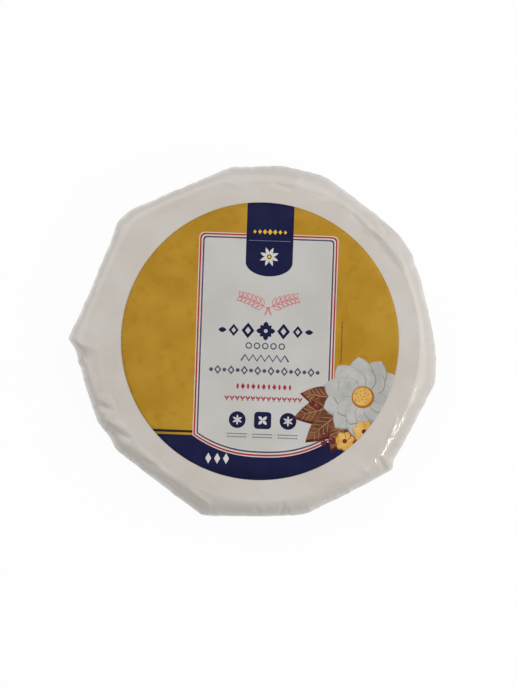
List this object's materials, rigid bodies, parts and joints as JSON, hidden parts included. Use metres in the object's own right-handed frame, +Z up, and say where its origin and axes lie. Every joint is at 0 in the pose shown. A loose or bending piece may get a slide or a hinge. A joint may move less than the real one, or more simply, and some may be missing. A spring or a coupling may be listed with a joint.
{
  "type": "wrapped brie wheel",
  "caption": "Whole brie wheel shut in glossy white paper-backed film, with folds down its uneven side, pleats pressed flat underneath and a round printed paper label on top.",
  "frame": {"origin": "on the surface that the pack rests on, under the middle of its outline", "axes": "+Z up through the pack's height with the label on top, +Y towards the head of the label, +X to the right of it"},
  "size_m": [0.2372, 0.2262, 0.0302],
  "materials": {
    "wrap_film": "semi-gloss white film on thin paper, creased",
    "label_paper": "satin printed paper, gold ground with a pale panel and navy fields"
  },
  "bodies": {
    "root": {"wrapped_cheese": "wrap_film", "label": "label_paper"}
  },
  "joints": []
}
